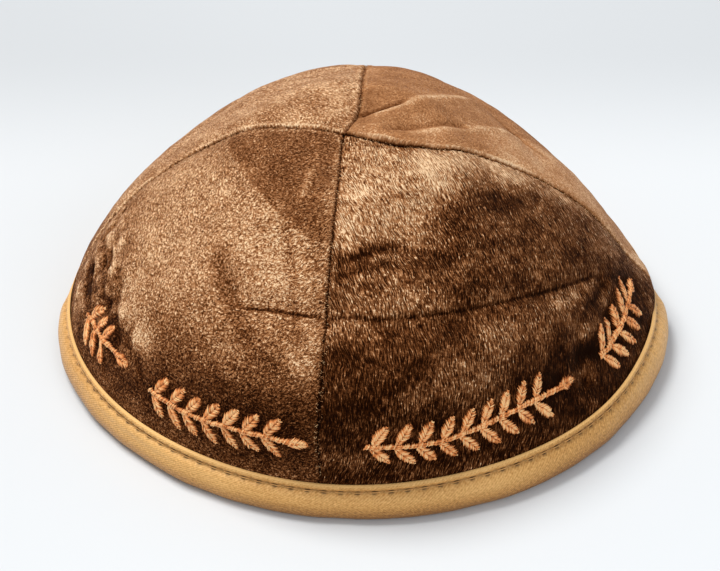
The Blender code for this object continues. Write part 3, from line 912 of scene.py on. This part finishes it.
def tapePlaces(azimuth, offset, height):
    # the section's points: velvet radius at that height, plus the offset with the roll's
    # changes, plus a slow waviness, drawn in at the stitches
    angle, up = np.radians(azimuth), height / tape["height"]
    outside = rising(offset, 0.3 * millimetre, 1.2 * millimetre)
    slow = sum(part * np.sin(n * angle + start) for n, start, part in tape["slowWaves"])
    change = millimetre * humps(azimuth, rollChanges) + tape["waviness"] * slow
    beat = np.cos(angle * stitchCount)
    deep, reach = tape["pullIn"]
    draw = deep * hump(up - tape["stitchHeight"], reach) * (0.15 + 0.85 * (0.5 + 0.5 * beat) ** 8)
    deep, place, reach = tape["puff"]
    draw = draw + deep * beat * hump(up - place, reach)
    grown = offset + outside * ((1 - rising(up, 0.55, 0.85)) * change - draw)
    pressed = np.ones_like(azimuth)
    for middle, spread, share in rollPinches:
        pressed *= 1 - share * hump(degreesFrom(azimuth, middle), spread, power=8)
    held = tape["heldWithin"]
    grown = np.where(grown > held, held + (grown - held) * pressed, grown)
    height = height + rising(up, 0.25, 0.80) * millimetre * humps(azimuth, lipChanges)
    radius = radiusAt(shareAtHeight(height)) + grown
    return np.stack([radius * np.cos(angle), radius * np.sin(angle), height], axis=-1)


def satinMaterial():
    made, tree = freshMaterial("goldSatin", Sheen_Weight=0.05, Sheen_Roughness=0.35,
                               Sheen_Tint=(1.0, 0.8, 0.5, 1.0), Specular_IOR_Level=0.4,
                               Specular_Tint=(1.0, 0.86, 0.62, 1.0))
    cloth = clothIn(tree)
    twill = cloth.turned(38.0).bands("Y", 4.6, 2.6, 2.0, 3.0)
    # flecks: the satin's grain, with painted sparkle
    flecksAndSparkle = cloth.noise(12.5, 2.0, 0.6)
    lift = (placeIn(tree).noise(30.0, 3.0) - 0.5) * 0.40 + 0.56
    lift = (twill - 0.5) * 0.16 + lift
    lift = fieldIn(tree, "paintedSatinLight") + ((flecksAndSparkle - 0.5) * 0.95 + lift)
    colour = lift.ramp(((0.10, (0.260, 0.105, 0.024)), (0.45, (0.560, 0.275, 0.076)),
                        (0.90, (0.860, 0.500, 0.180))))
    # the groove and needle holes are mixed towards a painted dark shade
    mixed = addNode(tree, "Mix", fieldIn(tree, "paintedGrooveShade"), output=2, settings={"data_type": "RGBA"})
    tree.links.new(colour.socket, mixed.socket.node.inputs[6])
    mixed.socket.node.inputs[7].default_value = (0.045, 0.016, 0.004, 1.0)
    finishMaterial(tree, mixed, twill.between(0.0, 1.0, 0.5, 0.36), twill * 0.6 + flecksAndSparkle * 0.4,
                   (0.15 * millimetre, 0.7))
    return made


def rimTape():
    section, run = roundSection(tape["section"] * (millimetre, tape["height"]), tape["sectionSteps"])
    azimuth = np.linspace(-180, 180, stitchCount * tape["stepsPerStitch"], endpoint=False)
    around, offset = np.meshgrid(azimuth, section[:, 0], indexing="ij")
    height = np.broadcast_to(section[:, 1], around.shape)
    up = height / tape["height"]
    # painted shade: a dark groove under the lip, with a darker needle hole between each two stitches
    halfLength, halfHeight = tape["hole"]
    along = (np.radians(around) * stitchCount % (2 * np.pi) - np.pi) / stitchCount * stitchRadius
    above = (height - tape["stitchHeight"] * tape["height"]) / halfHeight
    pitShade = tape["groovePaintedShade"] * hump(above)
    pitShade += tape["holePaintedShade"] * hump(along, halfLength, power=4) * hump(above, 1.5)
    pitShade *= offset > 0.4 * millimetre
    # painted light and shade round the rim, painted shade towards the foot and on the lip's face, and a
    # painted highlight along the lip's top edge
    footPaintedShade, *foot = tape["footPaintedShade"]
    lipPaintedShade, *face = tape["lipPaintedShade"]
    lipPaintedHighlight, *edge = tape["lipPaintedHighlight"]
    paintedSatinLight = humps(around, satinPaintedTones) - footPaintedShade * (1 - rising(up, *foot))
    paintedSatinLight -= lipPaintedShade * hump(up - face[0], face[1]) * (offset > 0.5 * millimetre)
    paintedSatinLight += lipPaintedHighlight * hump(up - edge[0], edge[1]) * (offset < 1.1 * millimetre)
    uv = np.stack([np.radians(around) * stitchRadius, np.broadcast_to(run, around.shape)], axis=-1)
    faces = quads(np.arange(around.size).reshape(around.shape), closedRound=True, closedAlong=True)
    piece = makeMesh("satinBinding", tapePlaces(around, offset, height).reshape(-1, 3), [faces[:, ::-1]],
                     (satinMaterial(),), uv=uv.reshape(-1, 2) * 100,
                     fields={"paintedGrooveShade": np.clip(pitShade, 0, 1), "paintedSatinLight": paintedSatinLight})
    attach(piece, "root")
    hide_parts("rim_binding")
    return piece


piece = rimTape()
print("bound the rim with", stitchCount, "stitches", len(piece.data.polygons), "faces")

# Topstitching: one bead of thread a stitch, lying in the groove
stitch = {
    "length": 3.7 * millimetre,
    "thick": 0.18 * millimetre,
    "offset": 0.80 * millimetre,
    "arch": (0.30 * millimetre, 0.05 * millimetre),  # how far its middle rises, its ends sink
    "sides": 8,
    "rings": 9,
    "colours": ((0.05, (0.34, 0.150, 0.040)), (0.95, (0.84, 0.47, 0.170))),
    "seed": 5,
}


def stitchBeads():
    middle = 360.0 / stitchCount * (np.arange(stitchCount) + 0.5 + 0.5 * (stitchCount % 2)) - 180.0
    along = np.linspace(-1, 1, stitch["rings"])
    azimuth = middle[:, None] + np.degrees(stitch["length"] / 2 * along / stitchRadius)
    draw = np.random.default_rng(stitch["seed"])
    height = tape["stitchHeight"] * tape["height"] + draw.normal(0, 0.06, (stitchCount, 1)) * millimetre
    height = np.broadcast_to(height, azimuth.shape)
    angle = np.radians(azimuth)
    outwards = np.stack([np.cos(angle), np.sin(angle), np.zeros_like(angle)], axis=-1)
    upwards = np.broadcast_to(np.array([0.0, 0.0, 1.0]), outwards.shape)
    rise, sunk = stitch["arch"]
    arch = rise * np.sqrt(np.clip(1 - along**4, 0, 1)) - sunk
    points = tapePlaces(azimuth, np.full(azimuth.shape, stitch["offset"]), height)
    radii = stitch["thick"] * np.sqrt(np.clip(1.02 - along**6, 0.0, 1.0))
    places, faces = tubes(points + arch[:, None] * outwards, radii, upwards, outwards, stitch["sides"])
    tone = np.repeat(draw.uniform(0.35, 0.8, stitchCount), stitch["rings"] * stitch["sides"])
    piece = makeMesh("bindingStitches", places, [faces[:, ::-1]],
                     (threadMaterial("goldThread", stitch["colours"]),), fields={"strandTone": tone})
    weld(piece)
    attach(piece, "root")
    return piece


piece = stitchBeads()
print("laid the topstitching", len(piece.data.polygons), "faces")

# Needlework: laurel sprigs in satin stitch, in four groups round the front. Lengths in mm.
sprig = {
    "nodePitch": 6.5,
    "leafLength": 8.0,
    "leafWidth": 3.5,
    "leafAngle": 52.0,
    "stemWidth": 1.5,
    "stemStep": 3.2,
    "stemWave": (0.9, 9.0),  # how far it sways, and how long a sway is
    "threadPitch": 0.42,
    "threadRadius": 0.22 * millimetre * np.array([0.3, 0.8, 1, 1, 1, 1, 1, 0.8, 0.3]),  # along a thread
    # painted highlight where each thread stands highest, painted shade at its ends and at a leaf's vein
    "threadPaintedLight": np.array([-0.40, -0.05, 0.25, 0.20, -0.15, 0.20, 0.25, -0.05, -0.40]),
    "slant": 42.0,
    "stemSlant": 30.0,
    "lift": 0.62,
    "vein": 0.30,  # how far the middle of a leaf is drawn in
    "ragged": 0.34,
    "colours": ((0.05, (0.240, 0.055, 0.010)), (0.42, (0.840, 0.290, 0.080)), (0.85, (1.0, 0.600, 0.270))),
    "seed": 11,
}


def satinColumn(centre, heading, length, width, slant, draw, leaf=True):
    # parallel threads across a shape. A leaf's half width is w*sin(pi*x^0.85)^0.75 and its
    # threads run forward from the vein to both edges; a stem's is even and they slant across
    count = max(3, int(round(length / sprig["threadPitch"])))
    x = (np.arange(count) + 0.5) / count
    half = width / 2 * (np.sin(np.pi * x**0.85) ** 0.75 if leaf else np.ones(count))
    full = np.clip(half / (width / 2), 0.35, 1.0)[:, None]
    half = (half + draw.uniform(-0.4, 1.0, count) * sprig["ragged"])[:, None]
    side = np.linspace(-1, 1, 9)[None, :]
    forward = np.abs(side) if leaf else side
    along = x[:, None] * length + (forward - 0.5 * leaf) * half * math.tan(math.radians(slant))
    across = side * half + draw.normal(0, 0.08, (count, 1))
    raised = full * (sprig["lift"] * (1 - side**2) ** 0.6 - leaf * sprig["vein"] * hump(side, 0.2))
    raised = raised + draw.uniform(-0.12, 0.12, (count, 1))
    cos, sin = math.cos(math.radians(heading)), math.sin(math.radians(heading))
    return np.stack([centre[0] + along * cos - across * sin, centre[1] + along * sin + across * cos,
                     raised], axis=-1)


def sprigThreads(length, draw):
    # a gently waving stem with pairs of leaves, and one leaf at its tip
    threads = []
    sway, long = sprig["stemWave"]
    step = sprig["stemStep"]

    def stemHeight(u):
        return sway * math.sin(u / long)

    for i in range(int(length / step)):
        u0, u1 = -length / 2 + i * step, -length / 2 + (i + 1) * step
        v0, v1 = stemHeight(u0), stemHeight(u1)
        tilt = math.degrees(math.atan2(v1 - v0, u1 - u0))
        threads.append(satinColumn((u0, v0), tilt, math.hypot(u1 - u0, v1 - v0),
                                   sprig["stemWidth"], sprig["stemSlant"], draw, leaf=False))
    for i in range(int((length - 5.0) / sprig["nodePitch"])):
        u = -length / 2 + 1.5 + i * sprig["nodePitch"]
        for side in (-1, 1):
            size = sprig["leafLength"] * draw.uniform(0.9, 1.05)
            threads.append(satinColumn(
                (u + 0.9 * (side > 0), stemHeight(u) + side * 0.5), side * sprig["leafAngle"],
                size, sprig["leafWidth"], sprig["slant"], draw))
    tip = length / 2 - 4.6
    threads.append(satinColumn((tip, stemHeight(tip)), 0.0, 7.0, sprig["leafWidth"], sprig["slant"], draw))
    return np.concatenate(threads)


def needleworkGroup(name, span, number):
    draw = np.random.default_rng(sprig["seed"] + number)
    share = shareAtHeight(needlework["height"])
    radius = radiusAt(share)
    local = sprigThreads(radius * math.radians(span[1] - span[0]) / millimetre, draw) * millimetre
    upThere = shareAtLength(lengthAt(share) + local[..., 1])
    azimuth = sum(span) / 2 + np.degrees(local[..., 0] / radius)
    base, normals = smoothCrown(azimuth, upThere), outward(azimuth, upThere)
    paths = base + (local[..., 2] - crownSink(azimuth, upThere, base))[..., None] * normals
    points, faces = tubesOnCloth(paths, sprig["threadRadius"], normals, 5)
    # a random tone per thread, plus the painted highlight and shade along it
    tone = np.repeat((draw.uniform(0.05, 0.80, (len(paths), 1)) + sprig["threadPaintedLight"]).ravel(), 5)
    piece = makeMesh("needlework" + name, points, [faces], (copperThread,), fields={"strandTone": tone})
    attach(piece, "root")
    return piece


copperThread = threadMaterial("copperThread", sprig["colours"], 0.34)
for number, (name, span) in enumerate(needlework["groups"].items()):
    piece = needleworkGroup(name, span, number)
    print("embroidered", piece.name, len(piece.data.polygons), "faces")

# Stage, light and camera
stage = {
    "floorSize": 6.0,
    "near": (0.730, 0.757, 0.780),
    "far": (0.595, 0.620, 0.643),
    "horizon": (0.080, 0.180),  # painted shade: the floor greys between these depths, for the dimmer far backdrop
    "leftPaintedShade": (-0.16, 0.0, 0.92, 1.0),  # painted shade that evens out the key light's brighter left side: from and to across, and how bright there
    "key": {"place": (-0.90, 0.50, 2.0), "size": 1.3, "power": 46.0, "colour": (1.0, 0.98, 0.95)},
    "fill": {"place": (0.7, -1.2, 0.8), "size": 1.0, "power": 5.5, "colour": (0.88, 0.94, 1.0)},
    "sky": ((0.95, 0.97, 1.0), 0.50),
}
view = {
    "elevation": 35.32,
    "distance": 0.80,
    "target": (-0.00052, 0.0, 0.01601),
    "lens": 126.46,
    "sensor": 36.0,
}


def layFloor():
    corners = np.array([(-1, -1, 0), (1, -1, 0), (1, 1, 0), (-1, 1, 0)]) * stage["floorSize"] / 2
    made, tree = freshMaterial("paleFloor", Roughness=0.6)
    across, depth = (addNode(tree, "SeparateXYZ", placeIn(tree), output=key) for key in "XY")
    # painted shade: greyer far away, and darker at the left where the key light falls most
    depthShaded = depth.between(*stage["horizon"], kind="SMOOTHSTEP")
    depthShaded = depthShaded.ramp(((0.0, stage["near"]), (1.0, stage["far"])))
    leftShade = across.between(*stage["leftPaintedShade"], kind="SMOOTHSTEP")
    faded = addNode(tree, "VectorMath", depthShaded, settings={"operation": "SCALE"}, Scale=leftShade)
    tree.links.new(faded.socket, tree.nodes["Principled BSDF"].inputs["Base Color"])
    floor = makeMesh("floor", corners, [np.array([[0, 1, 2, 3]])], (made,))


def aim(name, data, place, back):
    # hangs a lamp or camera so that its own +Z is back, with its +X level
    holder = bpy.data.objects.new(name, data)
    bpy.context.scene.collection.objects.link(holder)
    right = unit(np.cross((0.0, 0.0, 1.0), back))
    up = np.cross(back, right)
    rows = [[right[i], up[i], back[i], place[i]] for i in range(3)] + [[0, 0, 0, 1]]
    holder.matrix_world = Matrix(rows)
    return holder


def hangLight(name, light):
    lamp = bpy.data.lights.new(name, "AREA")
    lamp.shape = "DISK"
    lamp.size = light["size"]
    lamp.energy = light["power"]
    lamp.color = light["colour"]
    aim(name, lamp, light["place"], unit(np.array(light["place"])))


def setCamera():
    tilt = math.radians(view["elevation"])
    back = np.array([0.0, -math.cos(tilt), math.sin(tilt)])
    lens = bpy.data.cameras.new("camera")
    lens.lens = view["lens"]
    lens.sensor_width = view["sensor"]
    lens.sensor_fit = "HORIZONTAL"
    lens.clip_start = 0.05
    bpy.context.scene.camera = aim("camera", lens, np.array(view["target"]) + view["distance"] * back, back)


def setSky():
    world = bpy.data.worlds.new("sky")
    world.use_nodes = True
    background = world.node_tree.nodes["Background"]
    colour, strength = stage["sky"]
    background.inputs["Color"].default_value = (*colour, 1.0)
    background.inputs["Strength"].default_value = strength
    bpy.context.scene.world = world
    bpy.context.scene.view_settings.view_transform = "Standard"


layFloor()
hangLight("keyLight", stage["key"])
hangLight("fillLight", stage["fill"])
setSky()
setCamera()
print("set the stage")
